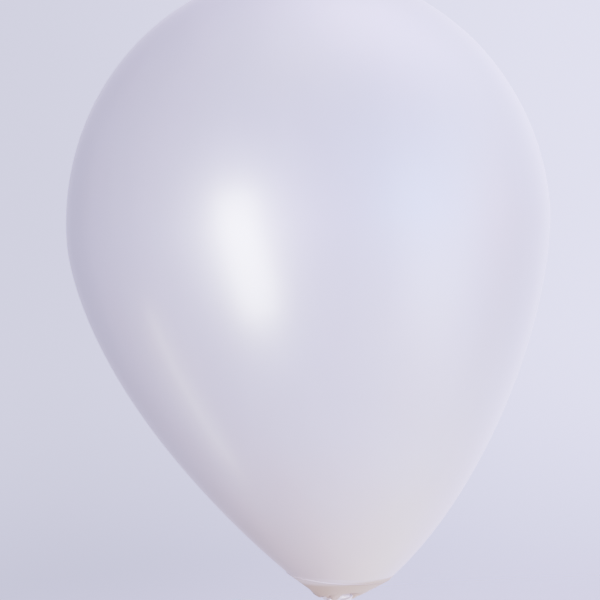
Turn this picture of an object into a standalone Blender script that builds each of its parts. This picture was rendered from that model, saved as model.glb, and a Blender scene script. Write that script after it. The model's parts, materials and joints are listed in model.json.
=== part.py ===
"""A tied latex balloon: a thin envelope, its thick neck funnel, the gathered throat, the overhand knot and the tail.

The origin is the middle of the throat, where a tie or a cup holds the balloon. +Z is the envelope's own
axis, towards the crown. The neck leans a little from that axis, in the XZ plane, as it does on a balloon
whose knot was pulled to one side. Lengths are in metres.
"""

from math import cos, pi, radians, sin

import bmesh
import bpy
from mathutils import Matrix, Vector

# Envelope: a crown over the equator and a tapering belly under it. At the angle a over the equator the crown is
# cos a radii wide and CROWN_HEIGHT sin a radii high. The belly's half-width, in radii, at
# the depth d under the equator is (1 - (d / BELLY_LENGTH) ** BELLY_FULLNESS) ** BELLY_TAPER.
BALLOON_RADIUS = 0.140
CROWN_HEIGHT = 1.055
BELLY_LENGTH = 1.603  # radii from the equator to where the belly would close
BELLY_FULLNESS = 1.615
BELLY_TAPER = 0.781
SHOULDER_DEPTH = 1.460  # radii from the equator to the shoulder, where the thin film ends
LEAN_GROWTH = 1.69  # power by which the belly's sections lean more and more towards the neck's lean
FILM = 0.00006  # wall of the stretched film
CROWN_RINGS = 11
BELLY_RINGS = 17
AROUND = 48  # facets round the envelope

# Neck funnel: thick latex that never stretched, from the shoulder down to the throat
NECK_LEAN = radians(8.7)
NECK_LENGTH = 0.0131  # shoulder to throat, along the neck's axis
SHOULDER_LIP = 0.0009  # how far the funnel's rim stands out past the film
FUNNEL_END = 0.0115  # radius where the slope turns in to the throat
THROAT_BORE = 0.0034
FUNNEL_WALL = 0.0005
FUNNEL_AROUND = 32
GAP = 0.0003

# Gathered throat: a small ball of folds that turns in the bore
GATHER_BALL = 0.0029
GATHER_HEIGHT = 0.00055  # of the ball's middle, over the origin
GATHER_STEM = 0.0018
GATHER_RISE = 0.0065
GATHER_AROUND = 16

# Overhand knot: a strand that wraps once and a quarter round itself
STRAND = 0.0024  # radius of the gathered strand
WRAP_RADIUS = 0.00585
WRAP_HEIGHT = 0.00495
WRAP_TURN = radians(230.3)  # of the wrap on each side of its middle
WRAP_START = radians(35)  # the way that the wrap's middle faces
WRAP_LEAVES = 0.74  # where the strand starts to turn in to the axis, the wrap itself ending at 1
WRAP_FADE = 0.60  # and the stretch that this takes
WRAP_ENDS = 1.46  # where the strand's ends stop
KNOT_DROP = 0.0027  # from the origin down to the strand's upper end
KNOT_POINTS = 49

# Tail: a short root under the knot, then the flattened sleeve that flares to the rolled lip
ROOT_BALL = 0.0021
ROOT_LENGTH = 0.0060  # between the swing and the flap axes
ROOT_HALF_WIDTH = 0.0034
ROOT_HALF_THICKNESS = 0.0011
SLEEVE_LENGTH = 0.0135
SLEEVE_TOP = (0.0036, 0.0011)  # half-width and half-thickness
SLEEVE_END = (0.0102, 0.0017)
LIP_BEAD = 0.0012
LIP_HALF_WIDTH = 0.0100
LIP_HALF_THICKNESS = 0.0021

KNOT_MIDDLE = -KNOT_DROP - WRAP_HEIGHT * pi * (WRAP_ENDS - 1)
KNOT_END = 2 * KNOT_MIDDLE + KNOT_DROP
SWING_HEIGHT = KNOT_END - GAP - ROOT_BALL
FLAP_HEIGHT = SWING_HEIGHT - ROOT_LENGTH
SLEEVE_HEIGHT = FLAP_HEIGHT - ROOT_HALF_THICKNESS - GAP


def cleared_scene():
    """Removes the scene's objects and gives the balloon's own collection."""
    for leftover in list(bpy.data.objects):
        bpy.data.objects.remove(leftover, do_unlink=True)
    collection = bpy.data.collections.new("latex_balloon")
    bpy.context.scene.collection.children.link(collection)
    return collection


def latex(name, colour, roughness):
    material = bpy.data.materials.new(name)
    material.use_nodes = True
    shader = material.node_tree.nodes["Principled BSDF"]
    shader.inputs["Base Color"].default_value = (*colour, 1)
    shader.inputs["Roughness"].default_value = roughness
    shader.inputs["Metallic"].default_value = 0
    return material


def add_empty(collection, name, parent=None, height=0.0, lean=0.0):
    """An empty on the neck's axis, at a height over its parent's place."""
    empty = bpy.data.objects.new(name, None)
    empty.empty_display_size = 0.01
    empty.location = (0, 0, height)
    empty.rotation_euler = (0, lean, 0)
    empty.parent = parent
    collection.objects.link(empty)
    return empty


def add_piece(collection, name, data, material, parent=None, height=0.0):
    """An object on the neck's axis, its mesh being drawn in the neck's own frame."""
    piece = bpy.data.objects.new(name, data)
    data.materials.append(material)
    piece.location = (0, 0, height)
    piece.parent = parent
    collection.objects.link(piece)
    return piece


def turned(name, profile, around):
    """A surface of revolution about Z. The profile runs down its outer side as (radius, height) pairs."""
    shape = bmesh.new()
    line = [shape.verts.new((radius, 0, height)) for radius, height in profile]
    edges = [shape.edges.new(pair) for pair in zip(line, line[1:])]
    bmesh.ops.spin(
        shape, geom=line + edges, cent=(0, 0, 0), axis=(0, 0, 1), angle=2 * pi, steps=around, use_merge=True
    )
    bmesh.ops.remove_doubles(shape, verts=shape.verts, dist=1e-6)
    bmesh.ops.recalc_face_normals(shape, faces=shape.faces)
    mesh = bpy.data.meshes.new(name)
    shape.to_mesh(mesh)
    shape.free()
    mesh.shade_smooth()
    return mesh


def belly_half_width(depth):
    return (1 - (depth / BELLY_LENGTH) ** BELLY_FULLNESS) ** BELLY_TAPER


def envelope_profile():
    """From the crown to the shoulder, heights measured from the equator."""
    profile = []
    for ring in range(CROWN_RINGS):
        angle = pi / 2 * (1 - ring / CROWN_RINGS)
        profile.append((cos(angle) * BALLOON_RADIUS, CROWN_HEIGHT * sin(angle) * BALLOON_RADIUS))
    for ring in range(BELLY_RINGS + 1):
        depth = SHOULDER_DEPTH * ring / BELLY_RINGS
        profile.append((belly_half_width(depth) * BALLOON_RADIUS, -depth * BALLOON_RADIUS))
    profile[0] = (0, profile[0][1])
    return profile


def add_envelope(collection, material):
    """The belly's sections lean about Y, by a share of the neck's lean that grows with their depth."""
    mesh = turned("envelope", envelope_profile(), AROUND)
    for vertex in mesh.vertices:
        depth = max(-vertex.co.z, 0) / (SHOULDER_DEPTH * BALLOON_RADIUS)
        lean = NECK_LEAN * depth**LEAN_GROWTH
        vertex.co.z -= vertex.co.x * sin(lean)
        vertex.co.x *= cos(lean)
    envelope = add_piece(collection, "envelope", mesh, material)
    envelope.location = (
        NECK_LENGTH * sin(NECK_LEAN),
        0,
        NECK_LENGTH * cos(NECK_LEAN) + SHOULDER_DEPTH * BALLOON_RADIUS,
    )
    add_wall(envelope, FILM)


def add_wall(piece, thickness):
    wall = piece.modifiers.new("wall", "SOLIDIFY")
    wall.thickness = thickness
    wall.offset = -1
    wall.use_even_offset = True


def add_neck_funnel(collection, material, neck):
    """A cone with a rolled rim under the film's edge and a floor that turns in to the throat's bore."""
    rim = belly_half_width(SHOULDER_DEPTH) * BALLOON_RADIUS + SHOULDER_LIP
    top = NECK_LENGTH - GAP
    profile = [
        (rim - 2.0 * SHOULDER_LIP, top),
        (rim - 0.7 * SHOULDER_LIP, top - 0.05 * SHOULDER_LIP),
        (rim, top - 0.7 * SHOULDER_LIP),
        (rim - 0.8 * SHOULDER_LIP, top - 1.7 * SHOULDER_LIP),
        (rim - 2.6 * SHOULDER_LIP, top - 2.6 * SHOULDER_LIP),
        (FUNNEL_END + 0.0008, 0.0016),
        (FUNNEL_END - 0.0006, 0.0007),
        (FUNNEL_END - 0.0030, GAP),
        (THROAT_BORE, GAP),
    ]
    mesh = turned("neck_funnel", profile, FUNNEL_AROUND)
    funnel = add_piece(collection, "neck_funnel", mesh, material, neck)
    add_wall(funnel, FUNNEL_WALL)


def add_neck_gather(collection, material, pivot):
    """A ball on a short stem, turned about the neck's axis, its middle on the pivot."""
    profile = [(0, GATHER_RISE), (GATHER_STEM, GATHER_RISE - 0.0004)]
    for step in range(8):
        angle = pi * (0.30 - 0.80 * step / 7)
        profile.append((GATHER_BALL * cos(angle), GATHER_BALL * sin(angle)))
    profile[-1] = (0, -GATHER_BALL)
    mesh = turned("neck_gather", profile, GATHER_AROUND)
    add_piece(collection, "neck_gather", mesh, material, pivot)


def knot_path():
    """The strand's centre line from its upper to its lower end, u running from -WRAP_ENDS to WRAP_ENDS.

    It turns evenly about the neck's axis while its height goes through one sine wave. Past the wrap's ends
    the height goes on straight, and the distance from the axis falls smoothly to nothing.
    """
    path = []
    for point in range(KNOT_POINTS):
        u = WRAP_ENDS * (2 * point / (KNOT_POINTS - 1) - 1)
        outside = max(abs(u) - 1, 0)
        rise = sin(pi * u) if outside == 0 else -pi * outside * (1 if u > 0 else -1)
        inward = min(max((abs(u) - WRAP_LEAVES) / WRAP_FADE, 0), 1)
        radius = WRAP_RADIUS * (1 - inward * inward * (3 - 2 * inward))
        angle = WRAP_START - WRAP_TURN * u
        path.append((radius * cos(angle), radius * sin(angle), WRAP_HEIGHT * rise))
    return path


def add_tube(collection, name, path, radius, material, parent, height, closed):
    """A round tube along a path, made a mesh so that its caps can be welded."""
    curve = bpy.data.curves.new(name, "CURVE")
    curve.dimensions = "3D"
    curve.bevel_depth = radius
    curve.bevel_resolution = 2
    curve.use_fill_caps = not closed
    spline = curve.splines.new("POLY")
    spline.points.add(len(path) - 1)
    for point, place in zip(spline.points, path):
        point.co = (*place, 1)
    spline.use_cyclic_u = closed
    guide = bpy.data.objects.new(name + "_line", curve)
    collection.objects.link(guide)
    bpy.context.view_layer.update()
    mesh = bpy.data.meshes.new_from_object(guide.evaluated_get(bpy.context.evaluated_depsgraph_get()))
    mesh.name = name
    bpy.data.objects.remove(guide, do_unlink=True)
    bpy.data.curves.remove(curve)
    shape = bmesh.new()
    shape.from_mesh(mesh)
    bmesh.ops.remove_doubles(shape, verts=shape.verts, dist=1e-6)
    shape.to_mesh(mesh)
    shape.free()
    mesh.materials.clear()
    mesh.shade_smooth()
    return add_piece(collection, name, mesh, material, parent, height)


def oval(half_width, half_thickness, height, points):
    """An ellipse in the plane z = height."""
    return [
        Vector((half_width * cos(2 * pi * k / points), half_thickness * sin(2 * pi * k / points), height))
        for k in range(points)
    ]


def lofted(name, sections):
    """A closed solid through matching sections, given from the top down."""
    shape = bmesh.new()
    rings = [[shape.verts.new(place) for place in section] for section in sections]
    count = len(rings[0])
    for upper, lower in zip(rings, rings[1:]):
        for k in range(count):
            shape.faces.new((upper[k], lower[k], lower[(k + 1) % count], upper[(k + 1) % count]))
    shape.faces.new(rings[0])
    shape.faces.new(reversed(rings[-1]))
    bmesh.ops.recalc_face_normals(shape, faces=shape.faces)
    mesh = bpy.data.meshes.new(name)
    shape.to_mesh(mesh)
    shape.free()
    mesh.shade_smooth()
    mesh.set_sharp_from_angle(angle=radians(40))
    return mesh


def add_tail_root(collection, material, swing):
    """A half ball at the swing axis that flattens into a strap, rounded about the flap axis."""
    sections = []
    for step in range(1, 6):
        angle = pi / 2 * (1 - step / 5)
        sections.append(oval(ROOT_BALL * cos(angle), ROOT_BALL * cos(angle), ROOT_BALL * sin(angle), 20))
    for share in (0.25, 0.5, 0.75, 1.0):
        smooth = share * share * (3 - 2 * share)
        half_width = ROOT_BALL + (ROOT_HALF_WIDTH - ROOT_BALL) * smooth
        half_thickness = ROOT_BALL + (ROOT_HALF_THICKNESS - ROOT_BALL) * smooth
        sections.append(oval(half_width, half_thickness, -ROOT_LENGTH * share, 20))
    for step in range(1, 4):
        angle = pi / 2 * step / 4
        sections.append(
            oval(
                ROOT_HALF_WIDTH * (1 - 0.06 * step),
                ROOT_HALF_THICKNESS * cos(angle),
                -ROOT_LENGTH - ROOT_HALF_THICKNESS * sin(angle),
                20,
            )
        )
    add_piece(collection, "tail_root", lofted("tail_root", sections), material, swing)


def add_tail(collection, material, flap):
    """The flattened sleeve: its width grows faster towards the mouth."""
    sections = []
    for step in range(8):
        share = step / 7
        half_width = SLEEVE_TOP[0] + (SLEEVE_END[0] - SLEEVE_TOP[0]) * share**1.4
        half_thickness = SLEEVE_TOP[1] + (SLEEVE_END[1] - SLEEVE_TOP[1]) * share
        sections.append(oval(half_width, half_thickness, -SLEEVE_LENGTH * share, 28))
    drop = SLEEVE_HEIGHT - FLAP_HEIGHT
    mesh = lofted("tail", sections)
    mesh.transform(Matrix.Translation((0, 0, drop)))
    add_piece(collection, "tail", mesh, material, flap)


def add_rolled_lip(collection, material, flap):
    """The bead round the mouth, an oval ring just under the sleeve's end."""
    drop = SLEEVE_HEIGHT - FLAP_HEIGHT - SLEEVE_LENGTH - GAP - LIP_BEAD
    path = [tuple(place) for place in oval(LIP_HALF_WIDTH, LIP_HALF_THICKNESS, drop, 32)]
    add_tube(collection, "rolled_lip", path, LIP_BEAD, material, flap, 0, closed=True)


def main():
    collection = cleared_scene()
    pearl_film = latex("pearl_film", (0.63, 0.61, 0.70), 0.30)
    neck_latex = latex("neck_latex", (0.60, 0.53, 0.50), 0.34)
    knot_latex = latex("knot_latex", (0.72, 0.66, 0.64), 0.25)
    lip_latex = latex("lip_latex", (0.62, 0.55, 0.52), 0.30)

    neck = add_empty(collection, "neck_axis", lean=NECK_LEAN)
    gather = add_empty(collection, "neck_twist_axis", neck, GATHER_HEIGHT)
    knot = add_empty(collection, "neck_bend_axis", gather)
    swing = add_empty(collection, "tail_swing_axis", knot, SWING_HEIGHT - GATHER_HEIGHT)
    flap = add_empty(collection, "tail_flap_axis", swing, FLAP_HEIGHT - SWING_HEIGHT)

    add_envelope(collection, pearl_film)
    add_neck_funnel(collection, neck_latex, neck)
    add_neck_gather(collection, neck_latex, gather)
    add_tube(collection, "knot", knot_path(), STRAND, knot_latex, knot, KNOT_MIDDLE - GATHER_HEIGHT, closed=False)
    add_tail_root(collection, knot_latex, swing)
    add_tail(collection, lip_latex, flap)
    add_rolled_lip(collection, lip_latex, flap)


main()
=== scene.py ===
# A pearl latex balloon tied with an overhand knot in its own neck.
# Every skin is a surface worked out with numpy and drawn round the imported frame, in metres.
import json
from math import atan2, cos, pi, radians, sin

import bpy
import numpy as np
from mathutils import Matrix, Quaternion, Vector


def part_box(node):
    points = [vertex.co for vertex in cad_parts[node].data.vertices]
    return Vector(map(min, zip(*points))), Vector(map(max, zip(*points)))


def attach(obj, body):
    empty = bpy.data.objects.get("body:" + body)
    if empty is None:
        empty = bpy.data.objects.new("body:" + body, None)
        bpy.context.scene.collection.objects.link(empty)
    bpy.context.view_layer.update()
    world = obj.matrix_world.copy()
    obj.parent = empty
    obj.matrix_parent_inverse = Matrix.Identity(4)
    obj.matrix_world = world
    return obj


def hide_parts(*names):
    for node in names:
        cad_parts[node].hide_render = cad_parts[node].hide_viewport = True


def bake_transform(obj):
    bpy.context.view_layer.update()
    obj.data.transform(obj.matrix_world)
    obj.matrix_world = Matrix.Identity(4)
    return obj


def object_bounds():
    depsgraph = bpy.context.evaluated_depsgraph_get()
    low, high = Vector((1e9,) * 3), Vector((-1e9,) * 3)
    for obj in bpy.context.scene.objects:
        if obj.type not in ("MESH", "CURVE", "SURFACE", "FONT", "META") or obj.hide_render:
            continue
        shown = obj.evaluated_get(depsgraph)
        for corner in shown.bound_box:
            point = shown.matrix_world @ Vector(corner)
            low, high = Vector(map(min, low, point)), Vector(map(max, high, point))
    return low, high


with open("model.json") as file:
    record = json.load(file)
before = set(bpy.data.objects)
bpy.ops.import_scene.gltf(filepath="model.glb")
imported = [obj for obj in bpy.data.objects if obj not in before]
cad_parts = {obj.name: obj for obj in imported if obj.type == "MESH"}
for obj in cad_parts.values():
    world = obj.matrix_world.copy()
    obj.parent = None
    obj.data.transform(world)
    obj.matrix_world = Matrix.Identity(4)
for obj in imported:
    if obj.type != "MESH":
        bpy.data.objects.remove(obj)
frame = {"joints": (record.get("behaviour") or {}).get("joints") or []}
cadLow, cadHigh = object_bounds()
print("frame loaded")

mm = 0.001

# The neck's own axes: up along the twist joint's axis, side to the right in a front view, and back
jointOf = {joint["name"]: joint for joint in frame["joints"]}
neckUp = np.array(jointOf["neck_twist"]["axis"], float)
neckUp = neckUp / np.linalg.norm(neckUp)
neckSide = np.array([neckUp[2], 0.0, -neckUp[0]])
neckBack = np.array([0.0, 1.0, 0.0])
neckLean = atan2(neckUp[0], neckUp[2])

filmLow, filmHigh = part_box("envelope")
balloonRadius = (filmHigh.x - filmLow.x) / 2
bodyAxisX = (filmHigh.x + filmLow.x) / 2
neckLength = bodyAxisX / sin(neckLean)  # the envelope's axis meets the neck's axis at the shoulder

knotLow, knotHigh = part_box("knot")
knotMiddle = float(np.dot((np.array(knotLow) + np.array(knotHigh)) / 2, neckUp))
lipLow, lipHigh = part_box("rolled_lip")
lipHeight = float(np.dot((np.array(lipLow) + np.array(lipHigh)) / 2, neckUp))


def inNeck(points):
    # World places of points whose x, y and z run along the neck's side, back and up from the throat's middle
    return points[..., 0:1] * neckSide + points[..., 1:2] * neckBack + points[..., 2:3] * neckUp


def ease(value, start, end):  # 0 before start, 1 after end, and 3t^2 - 2t^3 between them
    t = np.clip((value - start) / (end - start), 0, 1)
    return t * t * (3 - 2 * t)


def bump(value, middle, width):  # exp of minus the square of (distance from the middle over width)
    return np.exp(-(((value - middle) / width) ** 2))


def angleGap(angle, middle):  # signed angle from middle, between minus pi and pi
    return (angle - middle + pi) % (2 * pi) - pi


def aroundAngles(count):  # equal steps of a full turn
    return np.arange(count) * 2 * pi / count


def smoothLine(corners, count):
    # Catmull-Rom curve through the corners, then points at even distances along it
    corners = np.array(corners, float)
    ends = np.concatenate([2 * corners[:1] - corners[1:2], corners, 2 * corners[-1:] - corners[-2:-1]])
    t = np.linspace(0, 1, 40, endpoint=False)[:, None]
    stretches = []
    for a, b, c, d in zip(ends, ends[1:], ends[2:], ends[3:]):
        stretches.append(0.5 * (2 * b + (c - a) * t + (2 * a - 5 * b + 4 * c - d) * t**2
                                + (3 * b - a - 3 * c + d) * t**3))
    fine = np.concatenate(stretches + [corners[-1:]])
    along = np.concatenate([[0], np.cumsum(np.linalg.norm(np.diff(fine, axis=0), axis=1))])
    wanted = np.linspace(0, along[-1], count)
    return np.stack([np.interp(wanted, along, fine[:, k]) for k in range(fine.shape[1])], axis=1)


def outward(points):
    # Unit normals of a grid whose rows run down and whose columns run counter-clockwise from above: the cross
    # product of its two neighbour differences
    down = np.gradient(points, axis=0)
    around = np.roll(points, -1, axis=1) - np.roll(points, 1, axis=1)
    normals = np.cross(down, around)
    return normals / np.maximum(np.linalg.norm(normals, axis=-1, keepdims=True), 1e-12)


def foldWave(angle, count, uneven=1.0):
    # Rounded crests with sharp valleys, from 0 to 1: |cos(count/2 times the warped angle)|^0.75
    warped = angle + uneven * (0.20 * np.sin(2 * angle + 0.6) + 0.07 * np.sin(5 * angle + 1.9))
    return np.abs(np.cos(warped * count / 2)) ** 0.75


def skinMesh(name, points, startPole=False, endPole=False, closedRows=False, marks=None):
    # Quads between neighbouring rows and columns. Columns close on themselves, a pole is a fan on its row's
    # mean, and closed rows join the last row to the first.
    rows, cols = points.shape[:2]
    index = np.arange(rows * cols).reshape(rows, cols)
    lower = np.roll(index, -1, axis=0) if closedRows else index[1:]
    upper = index if closedRows else index[:-1]
    quads = np.stack([upper, lower, np.roll(lower, -1, axis=1), np.roll(upper, -1, axis=1)], axis=-1)
    faces = quads.reshape(-1, 4).tolist()
    corners = [points.reshape(-1, 3)]
    sources = [index.reshape(-1)]
    for wanted, row, turn in ((startPole, 0, 1), (endPole, rows - 1, -1)):
        if wanted:
            pole = sum(len(part) for part in corners)
            corners.append(points[row].mean(axis=0, keepdims=True))
            sources.append(index[row, :1])
            rim = index[row]
            nextRim = np.roll(rim, -turn)
            faces += np.stack([np.full(cols, pole), rim, nextRim], axis=-1).tolist()
    mesh = bpy.data.meshes.new(name)
    mesh.from_pydata(np.concatenate(corners).tolist(), [], faces)
    for mark, values in (marks or {}).items():
        layer = mesh.attributes.new(mark, "FLOAT", "POINT")
        layer.data.foreach_set("value", values.reshape(-1)[np.concatenate(sources)].astype(np.float32))
    mesh.shade_smooth()
    mesh.validate()
    piece = bpy.data.objects.new(name, mesh)
    bpy.context.scene.collection.objects.link(piece)
    return piece


def withInside(points, thickness, marks=None):
    # The outer rows, then the same rows moved inwards by the thickness, from last to first
    inner = points - outward(points) * thickness
    both = np.concatenate([points, inner[::-1]])
    doubled = {name: np.concatenate([values, values[::-1]]) for name, values in (marks or {}).items()}
    return both, doubled


def squareAxes(path):
    # Two unit axes square to the path at each of its points, carried along it with as little twist as can be:
    # each side axis is the last one less its part along the new tangent
    tangent = np.gradient(path, axis=0)
    tangent /= np.linalg.norm(tangent, axis=1, keepdims=True)
    side = np.zeros_like(path)
    first = np.cross(tangent[0], [0.0, 1.0, 0.0])
    side[0] = first / np.linalg.norm(first)
    for row in range(1, len(path)):
        kept = side[row - 1] - np.dot(side[row - 1], tangent[row]) * tangent[row]
        side[row] = kept / np.linalg.norm(kept)
    return side, np.cross(tangent, side)


class Wire:  # a socket with arithmetic: each operator adds one Math node to its tree
    def __init__(self, skin, socket):
        self.skin = skin
        self.socket = socket

    def math(self, operation, *others):
        inputs = dict(enumerate((self, *others)))
        return self.skin.node("ShaderNodeMath", {"operation": operation}, inputs)

    def __add__(self, other):
        return self.math("ADD", other)

    def __sub__(self, other):
        return self.math("SUBTRACT", other)

    def __mul__(self, other):
        return self.math("MULTIPLY", other)

    def __pow__(self, other):
        return self.math("POWER", other)

    def exp(self):
        return self.math("EXPONENT")

    def __rsub__(self, other):
        return self.skin.node("ShaderNodeMath", {"operation": "SUBTRACT"}, {0: other, 1: self})

    __radd__ = __add__
    __rmul__ = __mul__

    def between(self, low, high):  # 0 at low and 1 at high, eased and held outside
        return self.skin.node("ShaderNodeMapRange", {"interpolation_type": "SMOOTHSTEP"},
                              {"Value": self, "From Min": low, "From Max": high})


class Skin:  # one material, or one world, and its node tree
    def __init__(self, owner):
        self.owner = owner
        owner.use_nodes = True
        self.tree = owner.node_tree
        self.tree.nodes.clear()

    def node(self, kind, settings=None, inputs=None, output=0):  # a new node, its chosen output as a wire
        made = self.tree.nodes.new(kind)
        for name, value in (settings or {}).items():
            setattr(made, name, value)
        for name, value in (inputs or {}).items():
            if isinstance(value, Wire):
                self.tree.links.new(value.socket, made.inputs[name])
            else:
                made.inputs[name].default_value = value
        return Wire(self, made.outputs[output]) if len(made.outputs) else made

    def mix(self, share, first, second, blend="MIX"):  # a colour between two colours
        return self.node("ShaderNodeMix", {"data_type": "RGBA", "blend_type": blend},
                         {0: share, 6: first, 7: second}, output=2)

    def noise(self, place, scale, detail, roughness, stretch=None):  # 0 to 1 and mostly near a half
        if stretch:
            place = self.node("ShaderNodeMapping", None, {"Vector": place, "Scale": stretch})
        return self.node("ShaderNodeTexNoise", None,
                         {"Vector": place, "Scale": scale, "Detail": detail, "Roughness": roughness})

    def part(self, vector, axis):  # one coordinate of a vector
        return self.node("ShaderNodeSeparateXYZ", None, {0: vector}, output=axis)


pearl = dict(
    filmTint=(0.80, 0.775, 0.845, 1),     # pearl white with a lilac cast where the film is thin
    neckTint=(0.78, 0.67, 0.60, 1),       # warmer where the latex is thick
    cloudTint=(0.77, 0.77, 0.87, 1),      # the pearl pigment's cooler drifts
    creaseShadeTint=(0.24, 0.155, 0.12, 1),    # painted shade: the dark colour a fold's inside is given
    warmFrom=0.115, warmTo=0.012,         # heights over the throat between which the film turns warm
    warmth=0.78,                          # how far it turns
    cloudScale=13, cloudShare=0.55,       # the drifts of pigment, per metre, and how much they show
    driftScale=30, driftStretch=(1, 1, 0.22), driftDepth=0.045,    # long soft streaks from dipping
    peelScale=900, grainScale=210,        # orange peel and coarser grain, per metre
    creaseDark=0.92, creaseFlat=0.4,      # how dark the painted shade in a crease is, and how matt a crease is
    bumpStrength=0.10, bumpDistance=0.2 * mm, refraction=1.52,
)


def latexSkin(name, thickAndLitTint, tintFrom, tintTo, roughness, metallic, coat, coatRoughness):
    # Pearl latex: a lilac white with cloudy drifts of pigment that turns warm towards the neck, then a second
    # tint
    # between two heights: the thicker rubber's own colour on the neck and the lip, and on the knot a paler
    # tint that is a painted highlight on its folds. Painted shade makes it dark where the crease mark is
    # high, and its surface has a fine orange peel.
    skin = Skin(bpy.data.materials.new(name))
    place = skin.node("ShaderNodeTexCoord", None, None, output=3)
    height = skin.part(place, 2)
    clouds = skin.noise(place, pearl["cloudScale"], 4, 0.55)
    drifts = skin.noise(place, pearl["driftScale"], 3, 0.5, stretch=pearl["driftStretch"])
    cloudy = clouds.between(0.35, 0.68) * pearl["cloudShare"]
    colour = skin.mix(cloudy, pearl["filmTint"], pearl["cloudTint"])
    warmth = (height + (clouds - 0.5) * 0.03).between(pearl["warmFrom"], pearl["warmTo"])
    colour = skin.mix(warmth * pearl["warmth"], colour, pearl["neckTint"])
    if thickAndLitTint:
        colour = skin.mix(height.between(tintFrom, tintTo), colour, thickAndLitTint)
        crease = skin.node("ShaderNodeAttribute", {"attribute_name": "crease"}, None, output=2)
        # painted shade: the colour goes towards a dark brown where the crease mark is high
        colour = skin.mix(crease ** 1.3 * pearl["creaseDark"], colour, pearl["creaseShadeTint"])
        gloss = 1 - crease
        coat = gloss * gloss * coat
    streaks = drifts.between(0.30, 0.72) * pearl["driftDepth"] + (1 - pearl["driftDepth"])
    streakTint = skin.node("ShaderNodeCombineColor", None, {0: streaks, 1: streaks, 2: streaks})
    colour = skin.mix(1.0, colour, streakTint, "MULTIPLY")
    peel = skin.noise(place, pearl["peelScale"], 2, 0.5)
    rough = (clouds - 0.5) * 0.10 + (peel - 0.5) * 0.06 + roughness
    if thickAndLitTint:
        rough = rough + crease * pearl["creaseFlat"]
    relief = peel * 0.5 + skin.noise(place, pearl["grainScale"], 2, 0.5) * 0.8
    shading = skin.node("ShaderNodeBump", None, {
        "Strength": pearl["bumpStrength"], "Distance": pearl["bumpDistance"], "Height": relief})
    shader = skin.node("ShaderNodeBsdfPrincipled", None, {
        "Base Color": colour, "Roughness": rough, "Metallic": metallic, "IOR": pearl["refraction"],
        "Normal": shading, "Coat Weight": coat, "Coat Roughness": coatRoughness})
    skin.node("ShaderNodeOutputMaterial", None, {"Surface": shader})
    return skin.owner


# tint, the two heights between which it takes over, roughness, metallic, coat and the coat's roughness
filmSkin = latexSkin("pearl_film", None, 0, 0, 0.32, 0.20, 0.25, 0.16)
neckSkin = latexSkin("neck_latex", (0.56, 0.445, 0.30, 1), 13.6 * mm, 10.5 * mm, 0.46, 0.16, 0.05, 0.30)
# The knot's tint, on the throat, knot and tail strand, is far paler than the neck's latex: a painted
# highlight on their folds
knotSkin = latexSkin("knot_latex", (0.95, 0.88, 0.80, 1), 8.0 * mm, 5.0 * mm, 0.27, 0.08, 0.55, 0.12)
lipSkin = latexSkin("lip_latex", (0.74, 0.63, 0.53, 1), 8.0 * mm, 5.0 * mm, 0.33, 0.08, 0.30, 0.18)
print("finishes made")


def finishPiece(piece, material, node):  # its skin, its slot and the plain node it stands in for
    piece.data.materials.append(material)
    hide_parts(node)


film = dict(
    crownHeight=1.055,                                          # radii, crown over the equator
    bellyLength=1.603, bellyFullness=1.615, bellyTaper=0.781,   # the belly's outline
    shoulderDepth=1.460, leanGrowth=1.69,                       # in radii, and how the sections lean
    around=208, crownRows=64, bellyRows=120, thickness=0.15 * mm,
    nubHeight=0.55 * mm, nubWidth=3.2 * mm,                     # the drip left at the crown by dipping
    puckers=21, finePuckers=34,                                 # soft puckers just over the shoulder
    puckerDepth=0.16 * mm, puckerReach=9 * mm,
)


def bellyHalfWidth(depth):  # in radii: (1 - (depth / length)^fullness)^taper
    return (1 - (depth / film["bellyLength"]) ** film["bellyFullness"]) ** film["bellyTaper"]


shoulderRadius = bellyHalfWidth(film["shoulderDepth"]) * balloonRadius
equatorHeight = filmHigh.z - film["crownHeight"] * balloonRadius


def filmOutline():
    # Radius and height over the equator. Crown: cos a wide and crownHeight sin a high. Belly: the formula of
    # the half-width. The rows lie close together at the crown and at the shoulder.
    a = pi / 2 * (1 - np.linspace(0.004, 1, film["crownRows"], endpoint=False) ** 1.1)
    crown = np.stack([np.cos(a), film["crownHeight"] * np.sin(a)], axis=1)
    depth = film["shoulderDepth"] * np.sin(np.linspace(0, 1, film["bellyRows"]) * pi / 2)
    belly = np.stack([bellyHalfWidth(depth), -depth], axis=1)
    return np.concatenate([crown, belly]) * balloonRadius


def makeFilm():
    # The outline turned about the body's axis, each section leaning by a power of its depth, with a drip at
    # the crown and puckers that die away upwards
    outline = filmOutline()
    angle = aroundAngles(film["around"])[None, :]
    radius, height = outline[:, :1], outline[:, 1:]
    overShoulder = height + film["shoulderDepth"] * balloonRadius
    pucker = foldWave(angle, film["puckers"]) - 0.6 + 0.5 * (foldWave(angle, film["finePuckers"]) - 0.6)
    radius = radius + film["puckerDepth"] * pucker * np.exp(-overShoulder / film["puckerReach"])
    height = height + film["nubHeight"] * np.exp(-(radius / film["nubWidth"]) ** 2) * (height > 0)
    x = radius * np.cos(angle)
    y = radius * np.sin(angle)
    lean = neckLean * np.clip(-height / (film["shoulderDepth"] * balloonRadius), 0, 1) ** film["leanGrowth"]
    across = x * np.cos(lean) + bodyAxisX
    level = height - x * np.sin(lean) + equatorHeight
    points = np.stack([across, y + 0 * lean, level], axis=-1)
    both, _ = withInside(points, film["thickness"])
    piece = skinMesh("balloon_film", both, startPole=True, endPole=True)
    finishPiece(piece, filmSkin, "envelope")
    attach(piece, "balloon")


makeFilm()
print("film made")

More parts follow.
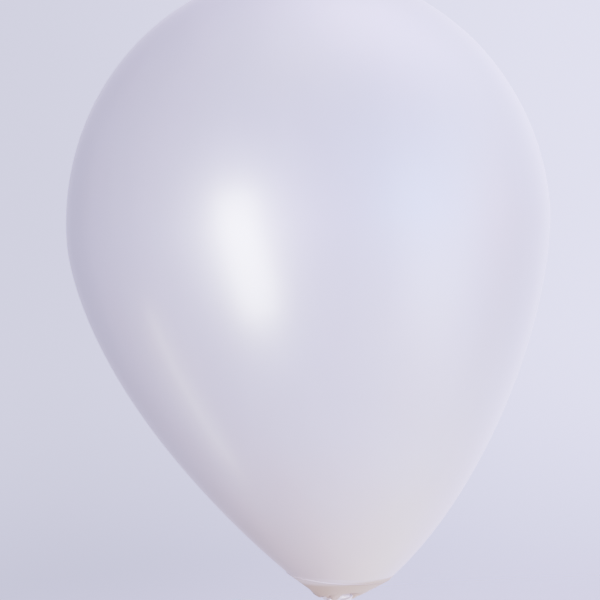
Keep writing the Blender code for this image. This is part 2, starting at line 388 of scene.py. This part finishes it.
funnel = dict(
    around=240, rows=180, wall=0.45 * mm,
    lip=0.60 * mm,                                # how far the rim stands out past the film
    folds=9, fineFolds=22,                        # pleats round the throat
    foldDepth=1.5 * mm, fineDepth=0.35 * mm,
    foldFrom=23 * mm, foldFull=8.5 * mm,          # radii between which the pleats grow
    unevenThree=0.10 * mm, unevenSeven=0.06 * mm,    # waves round the slope, three and seven to a turn
    # where a fat fold of the throat pushes the slope's end out and up, growing between two radii
    notchAngle=radians(-57), notchWidth=0.44, notchOut=1.9 * mm, notchLift=5.8 * mm,
    notchFrom=21 * mm, notchFull=9.5 * mm,
    # an inward fold on the left, darkened with painted shade
    hollowAngle=radians(-138), hollowWidth=0.24, hollowDepth=2.3 * mm,
    hollowFrom=14 * mm, hollowFull=10.5 * mm,
    # the left side's end stands out a little
    flareAngle=pi, flareWidth=0.75, flareOut=1.7 * mm, flareFrom=17 * mm, flareFull=10 * mm,
    rimShade=0.42, rimShadeDrop=0.35 * mm, rimShadeWidth=0.6 * mm,    # dark line under the rim
    insideFrom=8.0 * mm, insideFull=6.6 * mm,     # radii between which painted shade darkens the turned-in end
)


def funnelOutline():
    # Radius and height in the neck's frame: the rim grows out of the film's side, rolls under, and the slope
    # runs straight down to the throat, where it turns up inside.
    rim = shoulderRadius
    top = neckLength
    lip = funnel["lip"]
    hug = []
    for over, out in ((2.9 * mm, -0.30 * mm), (2.0 * mm, 0.10 * mm), (1.0 * mm, 0.45 * lip)):
        belly = bellyHalfWidth(film["shoulderDepth"] - over / balloonRadius) * balloonRadius
        hug.append((belly + out, top + over))
    return smoothLine(hug + [
        (rim + 0.90 * lip, top + 0.20 * mm),
        (rim + lip, top - 0.15 * mm),
        (rim + 0.55 * lip, top - 0.45 * mm),
        (rim - 1.5 * mm, top - 1.60 * mm),
        (rim * 0.80, top * 0.655),
        (rim * 0.60, top * 0.36),
        (12.9 * mm, 1.65 * mm),
        (10.2 * mm, 0.05 * mm),
        (8.6 * mm, -0.45 * mm),
        (7.4 * mm, 0.25 * mm),
        (6.4 * mm, 1.6 * mm),
    ], funnel["rows"])


def placed(feature, angle, radius):  # 1 at the feature's own angle near the throat, and 0 away from it
    near = bump(angleGap(angle, funnel[feature + "Angle"]), 0, funnel[feature + "Width"])
    return near * ease(radius, funnel[feature + "From"], funnel[feature + "Full"])


def makeFunnel():
    # The outline turned about the neck's axis and pushed along its normals by pleats that grow inwards
    outline = funnelOutline()
    angle = aroundAngles(funnel["around"])[None, :]
    radius, height = outline[:, :1], outline[:, 1:]
    slope = np.gradient(outline, axis=0)
    slope /= np.linalg.norm(slope, axis=1, keepdims=True)
    grown = ease(radius, funnel["foldFrom"], funnel["foldFull"])
    wave = foldWave(angle + 0.35 * grown, funnel["folds"])
    fine = foldWave(angle + 0.5 * grown, funnel["fineFolds"], 0.6)
    ripple = funnel["unevenThree"] * np.sin(3 * angle + 0.5) + funnel["unevenSeven"] * np.sin(7 * angle)
    fineShare = (fine - 0.6) * funnel["fineDepth"] * grown
    push = (wave - 0.62) * funnel["foldDepth"] * grown**1.6 + fineShare + ripple
    notch = placed("notch", angle, radius)
    hollow = placed("hollow", angle, radius)
    flare = placed("flare", angle, radius)
    push = push - funnel["hollowDepth"] * hollow
    out = radius - push * slope[:, 1:] + funnel["notchOut"] * notch + funnel["flareOut"] * flare
    level = height + push * slope[:, :1] + funnel["notchLift"] * notch
    points = inNeck(np.stack([out * np.cos(angle), out * np.sin(angle), level + 0 * angle], axis=-1))
    # The crease mark is painted shade: in the pleats' valleys, on the turned-in end, in the hollow and in a
    # line under the rim
    pleats = grown * (1 - wave) ** 1.5 * 0.9
    inside = 0.9 * ease(radius, funnel["insideFrom"], funnel["insideFull"])
    shade = funnel["rimShade"] * bump(height, neckLength - funnel["rimShadeDrop"], funnel["rimShadeWidth"])
    crease = np.clip(pleats + inside + 1.2 * hollow + shade, 0, 1)
    both, marks = withInside(points, funnel["wall"], {"crease": crease})
    piece = skinMesh("neck_funnel_skin", both, closedRows=True, marks=marks)
    finishPiece(piece, neckSkin, "neck_funnel")
    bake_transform(piece)


makeFunnel()
print("funnel made")

gather = dict(
    # radius and height of the drawn-together neck, from inside the funnel down to the knot
    outline=(
        (1.2 * mm, 6.4 * mm), (4.4 * mm, 5.4 * mm), (6.9 * mm, 3.4 * mm), (8.1 * mm, 1.2 * mm),
        (7.9 * mm, -0.6 * mm), (6.3 * mm, -1.9 * mm), (4.2 * mm, -2.7 * mm), (2.9 * mm, -3.9 * mm),
        (2.3 * mm, -5.6 * mm), (0.6 * mm, -6.6 * mm),
    ),
    around=240, rows=90, folds=9, fineFolds=27,
    foldShare=0.34, fineShare=0.06,    # fold depth as a share of the radius
    swirl=1.1,                         # how far the folds turn on their way down
    # folds that show in front of the slope: angle, width, how far out, middle height
    fatFolds=((radians(-55), 0.47, 5.2 * mm, 2.1 * mm), (radians(-118), 0.28, 2.0 * mm, -0.9 * mm)),
    fatReach=3.3 * mm, fatRise=0.16,
    fatFull=4 * mm, fatSmooth=0.85,    # where a fat fold is this thick, it has lost this share of its pleats
)


def makeGather():
    # The outline turned about the neck's axis, its radius changed by a share that follows the folds
    outline = smoothLine(gather["outline"], gather["rows"])
    angle = aroundAngles(gather["around"])[None, :]
    radius, height = outline[:, :1], outline[:, 1:]
    turned = angle + gather["swirl"] * ease(height, 3 * mm, -5 * mm)
    wave = foldWave(turned, gather["folds"])
    fine = foldWave(turned, gather["fineFolds"], 0.7)
    fat = sum(out * bump(angleGap(angle, middle), 0, width) * bump(height, level, gather["fatReach"])
              for middle, width, out, level in gather["fatFolds"])
    pleated = 1 - gather["fatSmooth"] * np.minimum(fat / gather["fatFull"], 1)
    folded = gather["foldShare"] * (wave - 0.7) * pleated + gather["fineShare"] * (fine - 0.6)
    radius = radius * (1 + folded) + fat
    height = height + gather["fatRise"] * fat
    points = inNeck(np.stack([radius * np.cos(angle), radius * np.sin(angle), height + 0 * angle], axis=-1))
    # painted shade in the valleys of the folds
    crease = np.clip((1 - wave) ** 1.3 + 0 * height, 0, 1)
    piece = skinMesh("throat_gather", points, startPole=True, endPole=True, marks={"crease": crease})
    finishPiece(piece, knotSkin, "neck_gather")
    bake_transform(piece)


makeGather()
print("throat made")

knot = dict(
    wrapRadius=5.85 * mm, wrapHeight=4.95 * mm, wrapTurn=radians(230.3), wrapStart=radians(35),
    wrapLeaves=0.74, wrapFade=0.60, wrapEnds=1.46,    # along the wrap, whose own ends are at -1 and 1
    strand=3.25 * mm, rows=420, around=72,
    folds=11, fineFolds=25, foldShare=0.11, fineShare=0.03, swirl=0.9, swirlLength=9 * mm,
    taper=0.42, taperFrom=1.08, taperTo=1.42,         # how much the strand thins past the wrap
    pressGap=0.05 * mm, softness=0.35 * mm, smoothings=3,
)


def knotPath(count):
    # The wrap turns evenly about the neck while its height goes through one sine wave. Past its ends the
    # height goes straight on, and the distance from the axis falls smoothly to nothing.
    u = np.linspace(-knot["wrapEnds"], knot["wrapEnds"], count)
    outside = np.maximum(np.abs(u) - 1, 0)
    rise = np.where(outside == 0, np.sin(pi * u), -pi * outside * np.sign(u))
    inward = ease(np.abs(u), knot["wrapLeaves"], knot["wrapLeaves"] + knot["wrapFade"])
    radius = knot["wrapRadius"] * (1 - inward)
    angle = knot["wrapStart"] - knot["wrapTurn"] * u
    height = knotMiddle + knot["wrapHeight"] * rise
    return np.stack([radius * np.cos(angle), radius * np.sin(angle), height], axis=1), u


def distanceAlong(path):
    return np.concatenate([[0], np.cumsum(np.linalg.norm(np.diff(path, axis=0), axis=1))])


def pressed(path, across, reach):
    # How far each ray from the path may go before it meets the halfway plane to another stretch of the
    # strand: half the distance to it over the cosine between them, for stretches that aren't the ray's own
    free = 1.0
    grazing = 0.05
    along = distanceAlong(path)
    limit = np.full(across.shape[:2], free)
    for other, otherAlong in zip(path[::2], along[::2]):
        gap = other - path
        length = np.linalg.norm(gap, axis=1)
        apart = np.abs(along - otherAlong) > 1.15 * pi * reach / 2 + reach
        facing = np.einsum("rcx,rx->rc", across, gap / np.maximum(length, 1e-9)[:, None])
        halfway = (length[:, None] / 2 - knot["pressGap"]) / np.maximum(facing, grazing)
        allowed = np.where((facing > grazing) & apart[:, None], halfway, free)
        limit = np.minimum(limit, allowed)
    return limit


def makeKnot():
    # A folded strand along the path. Where it presses on itself its radius is the soft minimum of its own
    # reach and the limit: -s log(exp(-reach / s) + exp(-limit / s)), then smoothed along and around.
    path, u = knotPath(knot["rows"])
    angle = aroundAngles(knot["around"])[None, :]
    along = distanceAlong(path)[:, None]
    side, over = squareAxes(path)
    across = np.cos(angle)[..., None] * side[:, None] + np.sin(angle)[..., None] * over[:, None]
    turned = angle + knot["swirl"] * np.sin(along / knot["swirlLength"])
    wave = foldWave(turned, knot["folds"], 1.3)
    fine = foldWave(turned + 0.3, knot["fineFolds"], 0.8)
    taper = 1 - knot["taper"] * ease(np.abs(u), knot["taperFrom"], knot["taperTo"])[:, None]
    folded = knot["foldShare"] * (wave - 0.7) + knot["fineShare"] * (fine - 0.6)
    reach = knot["strand"] * taper * (1 + folded)
    limit = pressed(path, across, knot["strand"])
    soft = knot["softness"]
    radius = -soft * np.log(np.exp(-reach / soft) + np.exp(-limit / soft))
    for _ in range(knot["smoothings"]):
        radius[1:-1] = (radius[:-2] + 2 * radius[1:-1] + radius[2:]) / 4
        radius = (np.roll(radius, 1, axis=1) + 2 * radius + np.roll(radius, -1, axis=1)) / 4
    points = inNeck(path[:, None] + across * radius[..., None])
    # painted shade in the folds' valleys and where the strand presses on itself
    crease = np.clip((1 - wave) ** 2 * 0.8 + ease(reach - radius, 0.25 * mm, 1.3 * mm) * 0.8, 0, 1)
    marks = {"crease": crease[:, ::-1]}
    piece = skinMesh("overhand_knot", points[:, ::-1], startPole=True, endPole=True, marks=marks)
    finishPiece(piece, knotSkin, "knot")
    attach(piece, "knot")


makeKnot()
print("knot made")

tail = dict(
    around=168, strandRows=60, sleeveRows=90, insideRows=50, wall=0.38 * mm, insideDepth=9 * mm,
    strandTop=-13.8 * mm, strandJoin=-23.4 * mm,      # heights on the neck's axis
    overlap=2.8 * mm,                                 # how far the sleeve reaches up over the strand's end
    strandPinch=0.10, sleevePinch=0.08,               # by which share each one narrows there
    halfWidths=(2.5 * mm, 10.3 * mm), halfThicknesses=(2.3 * mm, 2.2 * mm),    # at the top and at the mouth
    waist=1.15 * mm, spread=1.25, folds=8, foldDepth=0.42 * mm,
    wave=1.1 * mm, waveLength=4.2 * mm,               # the mouth's line waves to the front and the back
    sweep=1.3 * mm, dip=0.7 * mm,                     # how far the mouth goes back, and its sides go down
    bead=1.28 * mm, beadAround=28, beadAlong=220,
    grooves=((70, 0.16, 0.16), (160, 0.08, 0.14)),    # where the roll ends: degrees, depth share, width
)


def sleeveSection(height, angle, inset=0.0):
    # An ellipse that widens as a power of the way down and thins at its waist. Its pleats die away towards
    # the mouth, and its middle line waves more and more to the front and the back.
    share = np.clip((tail["strandTop"] - height) / (tail["strandTop"] - lipHeight), 0, 1)
    late = ease(share, 0.22, 1.0) ** (1 / tail["spread"])
    width = tail["halfWidths"][0] + (tail["halfWidths"][1] - tail["halfWidths"][0]) * late
    thick = tail["halfThicknesses"][0] * (1 - late) + tail["halfThicknesses"][1] * late
    thick = thick - tail["waist"] * bump(share, 0.62, 0.24)
    fade = 1 - ease(share, 0.30, 0.95)
    wave = foldWave(angle + 0.4, tail["folds"], 1.2)
    push = tail["foldDepth"] * (wave - 0.65) * (0.25 + 0.75 * fade) - inset
    x = (width + push) * np.cos(angle)
    y = (thick + push) * np.sin(angle)
    bend = tail["wave"] * np.sin(x / tail["waveLength"] + 0.5) * share**2 + tail["sweep"] * share**2.2
    dip = tail["dip"] * np.cos(2 * angle) * share**4
    # painted shade in the pleats' valleys
    crease = np.clip((1 - wave) ** 1.4 * fade, 0, 1)
    return np.stack([x, y + bend, height + dip + 0 * angle], axis=-1), crease


def hinged(piece):  # bakes the piece's place into its mesh
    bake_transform(piece)


def makeTailStrand():  # the folded strand that leaves the knot
    angle = aroundAngles(tail["around"])[None, :]
    height = np.linspace(tail["strandTop"], tail["strandJoin"], tail["strandRows"])[:, None]
    points, crease = sleeveSection(height, angle)
    pinch = ease(height, tail["strandJoin"] + 1.8 * mm, tail["strandJoin"])
    points[..., :2] *= 1 - tail["strandPinch"] * pinch[..., None]
    piece = skinMesh("tail_strand", inNeck(points), startPole=True, endPole=True, marks={"crease": crease})
    finishPiece(piece, knotSkin, "tail_root")
    hinged(piece)


def makeSleeve():  # the flattened end of the neck, open at its mouth
    angle = aroundAngles(tail["around"])[None, :]
    top = tail["strandJoin"] + tail["overlap"]
    outerHeight = np.linspace(top, lipHeight, tail["sleeveRows"])[:, None]
    innerHeight = np.linspace(lipHeight, lipHeight + tail["insideDepth"], tail["insideRows"])[:, None]
    outer, outerCrease = sleeveSection(outerHeight, angle)
    pinch = ease(outerHeight, tail["strandJoin"] + 1.2 * mm, top)
    outer[..., :2] *= 1 - tail["sleevePinch"] * pinch[..., None]
    inner, _ = sleeveSection(innerHeight, angle, tail["wall"])
    # painted shade: the inside gets darker deeper into the mouth
    innerCrease = ease(innerHeight, lipHeight + 0.5 * mm, lipHeight + 7 * mm) + 0 * angle
    points = inNeck(np.concatenate([outer, inner]))
    marks = {"crease": np.concatenate([outerCrease, innerCrease])}
    piece = skinMesh("tail_sleeve", points, startPole=True, endPole=True, marks=marks)
    finishPiece(piece, lipSkin, "tail")
    hinged(piece)


def makeMouthRoll():  # the rolled bead, a tube along the sleeve's mouth with grooves where the roll ends
    across = aroundAngles(tail["beadAround"])[None, :]
    angle = aroundAngles(tail["beadAlong"])
    path, _ = sleeveSection(np.array([[lipHeight]]), angle[None, :])
    path = path[0]
    tangent = np.roll(path, -1, axis=0) - np.roll(path, 1, axis=0)
    tangent /= np.linalg.norm(tangent, axis=1, keepdims=True)
    down = np.array([0.0, 0.0, -1.0])
    out = np.cross(tangent, np.broadcast_to(-down, tangent.shape))
    out /= np.linalg.norm(out, axis=1, keepdims=True)
    under = np.cross(out, tangent)
    groove = sum(depth * bump(angleGap(across, radians(middle)), 0, width)
                 for middle, depth, width in tail["grooves"])
    uneven = 1 + 0.035 * np.sin(3 * angle + 1)[:, None] + 0.02 * np.sin(11 * angle)[:, None]
    radius = tail["bead"] * uneven * (1 - groove)
    ring = np.cos(across)[..., None] * out[:, None] + np.sin(across)[..., None] * under[:, None]
    points = path[:, None] + radius[..., None] * ring
    # painted shade in the grooves where the roll ends
    crease = np.clip(groove / 0.2 + 0 * uneven, 0, 1)
    piece = skinMesh("mouth_roll", inNeck(points), closedRows=True, marks={"crease": crease})
    finishPiece(piece, lipSkin, "rolled_lip")
    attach(piece, "tail")


makeTailStrand()
makeSleeve()
makeMouthRoll()
print("tail made")

studio = dict(
    floorDrop=0.14, floorRadius=1.4, floorTint=(0.80, 0.79, 0.84, 1),
    skyLeft=(1.50, 1.40, 2.45), skyRight=(2.75, 2.50, 5.0),    # the plain backdrop behind the balloon
    lowSky=0.58,                                               # how dim that gets below the horizon
    ambient=(0.03, 0.03, 0.05), strength=0.84,
)

# Soft lights of the room: azimuth and elevation from the balloon in degrees, where azimuth 0 is in front and
# grows to the right, then sharpness and colour
roomLights = dict(
    keyGlow=(-30, 0, 9, (9.0, 8.3, 13.0)),
    front=(0, 0, 9, (1.7, 0.7, 3.0)),
    overhead=(0, 75, 9, (1.2, 1.2, 0.3)),
    blueWindow=(60, 0, 9, (3.3, 5.6, 15.5)),
    windowLeft=(45, 4, 45, (0.4, 1.5, 3.4)),
    windowHigh=(86, 22, 40, (0.6, 1.8, 3.8)),
    warmSide=(90, 0, 9, (3.7, 1.5, 1.1)),
    warmLow=(52, -30, 9, (2.8, 1.7, 1.1)),
    lowPatch=(66, -27, 34, (4.4, 4.4, 6.4)),
    highBack=(120, 60, 9, (9.0, 6.5, 13.7)),
    sideBack=(115, 30, 9, (0.9, 1.5, 2.5)),
    backdrop=(160, 10, 9, (4.9, 4.2, 7.8)),
    lowBack=(120, -60, 9, (3.2, 3.1, 1.8)),
    lowBackdrop=(155, -30, 9, (2.6, 2.2, 4.2)),
    backLeft=(-170, 5, 9, (0.9, 0.8, 1.4)),
    below=(0, -90, 9, (1.3, 0.8, 0.1)),
)


def direction(azimuth, elevation):  # the unit vector towards an azimuth and an elevation in degrees
    a, e = radians(azimuth), radians(elevation)
    return Vector((sin(a) * cos(e), -cos(a) * cos(e), sin(e)))


def makeFloor():  # a pale disc that fades out at its rim
    reach = studio["floorRadius"]
    bpy.ops.mesh.primitive_circle_add(vertices=128, radius=reach, fill_type="NGON",
                                      location=(0, 0, cadLow.z - studio["floorDrop"]))
    floor = bpy.context.object
    floor.name = "pale_floor"
    skin = Skin(bpy.data.materials.new("pale_floor"))
    place = skin.node("ShaderNodeTexCoord", None, None, output=3)
    distance = skin.node("ShaderNodeVectorMath", {"operation": "LENGTH"}, {0: place}, output=1)
    paint = skin.node("ShaderNodeBsdfDiffuse", None, {"Color": studio["floorTint"]})
    clear = skin.node("ShaderNodeBsdfTransparent")
    faded = distance.between(0.25 * reach, 0.98 * reach)
    seen = skin.node("ShaderNodeMixShader", None, {0: faded, 1: paint, 2: clear})
    skin.node("ShaderNodeOutputMaterial", None, {"Surface": seen})
    floor.data.materials.append(skin.owner)
    floor.visible_diffuse = False
    floor.visible_glossy = False
    floor.visible_shadow = False


def makeRoom():
    # The room's light is a sum of soft lights, each exp(sharpness times (cosine of the angle from its middle
    # less 1)). Behind the balloon stands a plain backdrop that is paler on the right.
    skin = Skin(bpy.data.worlds.new("studio"))
    bpy.context.scene.world = skin.owner
    way = skin.node("ShaderNodeTexCoord", None, None, output=0)
    room = (*studio["ambient"], 1)
    for azimuth, elevation, sharpness, colour in roomLights.values():
        facing = skin.node("ShaderNodeVectorMath", {"operation": "DOT_PRODUCT"},
                           {0: way, 1: direction(azimuth, elevation)}, output=1)
        room = skin.mix(((facing - 1) * sharpness).exp(), room, (*colour, 1), "ADD")
    across = skin.part(way, 0)
    up = skin.part(way, 2)
    rightward = (across * 2.6 + up * 0.25 + 0.44).between(0, 1)
    sky = skin.mix(rightward, (*studio["skyLeft"], 1), (*studio["skyRight"], 1))
    seen = skin.node("ShaderNodeLightPath", None, None, output=0)
    dim = up.between(-0.24, -0.05) * (1 - studio["lowSky"]) + studio["lowSky"]
    strength = seen * dim + (1 - seen) * studio["strength"]
    shown = skin.mix(seen, room, sky)
    light = skin.node("ShaderNodeBackground", None, {"Color": shown, "Strength": strength})
    skin.node("ShaderNodeOutputWorld", None, {"Surface": light})


def panel(name, azimuth, elevation, distance, size, spin, power, colour):
    # A soft panel that faces the balloon's middle, turned by spin degrees, for gloss only
    middle = Vector((bodyAxisX, 0, equatorHeight))
    place = middle + distance * direction(azimuth, elevation)
    data = bpy.data.lights.new(name, "AREA")
    data.shape = "RECTANGLE"
    data.size, data.size_y = size
    data.energy = power
    data.color = colour
    light = bpy.data.objects.new(name, data)
    light.location = place
    light.rotation_mode = "QUATERNION"
    facing = (middle - place).to_track_quat("-Z", "Y")
    light.rotation_quaternion = facing @ Quaternion((0, 0, 1), radians(spin))
    light.visible_camera = False
    light.visible_diffuse = False
    bpy.context.scene.collection.objects.link(light)


camera = dict(
    distance=1.1, lens=113.29, sensor=36,
    rise=-0.0076, aimSide=-0.00846, aimUp=-0.04236,    # from the middle of the balloon's equator
    roll=-4.885,                                       # degrees
)


def makeCamera():  # in front, close to level with the equator
    data = bpy.data.cameras.new("camera")
    data.sensor_width = camera["sensor"]
    data.lens = camera["lens"]
    made = bpy.data.objects.new("camera", data)
    middle = Vector((bodyAxisX, 0, equatorHeight))
    place = middle + Vector((0, -camera["distance"], camera["rise"]))
    aim = middle + Vector((camera["aimSide"], 0, camera["aimUp"]))
    made.location = place
    made.rotation_mode = "QUATERNION"
    looking = (aim - place).to_track_quat("-Z", "Y")
    made.rotation_quaternion = looking @ Quaternion((0, 0, 1), radians(camera["roll"]))
    bpy.context.scene.collection.objects.link(made)
    bpy.context.scene.camera = made


makeFloor()
makeRoom()
# azimuth, elevation, distance, width and height, spin, power in watts, colour
panel("key", -27, -9, 0.62, (0.17, 0.52), 4, 9.5, (0.92, 0.93, 1.0))
panel("left_strip", -90, -38, 0.9, (0.05, 0.52), -17, 0.95, (1.0, 0.94, 1.0))
makeCamera()
print("studio made")
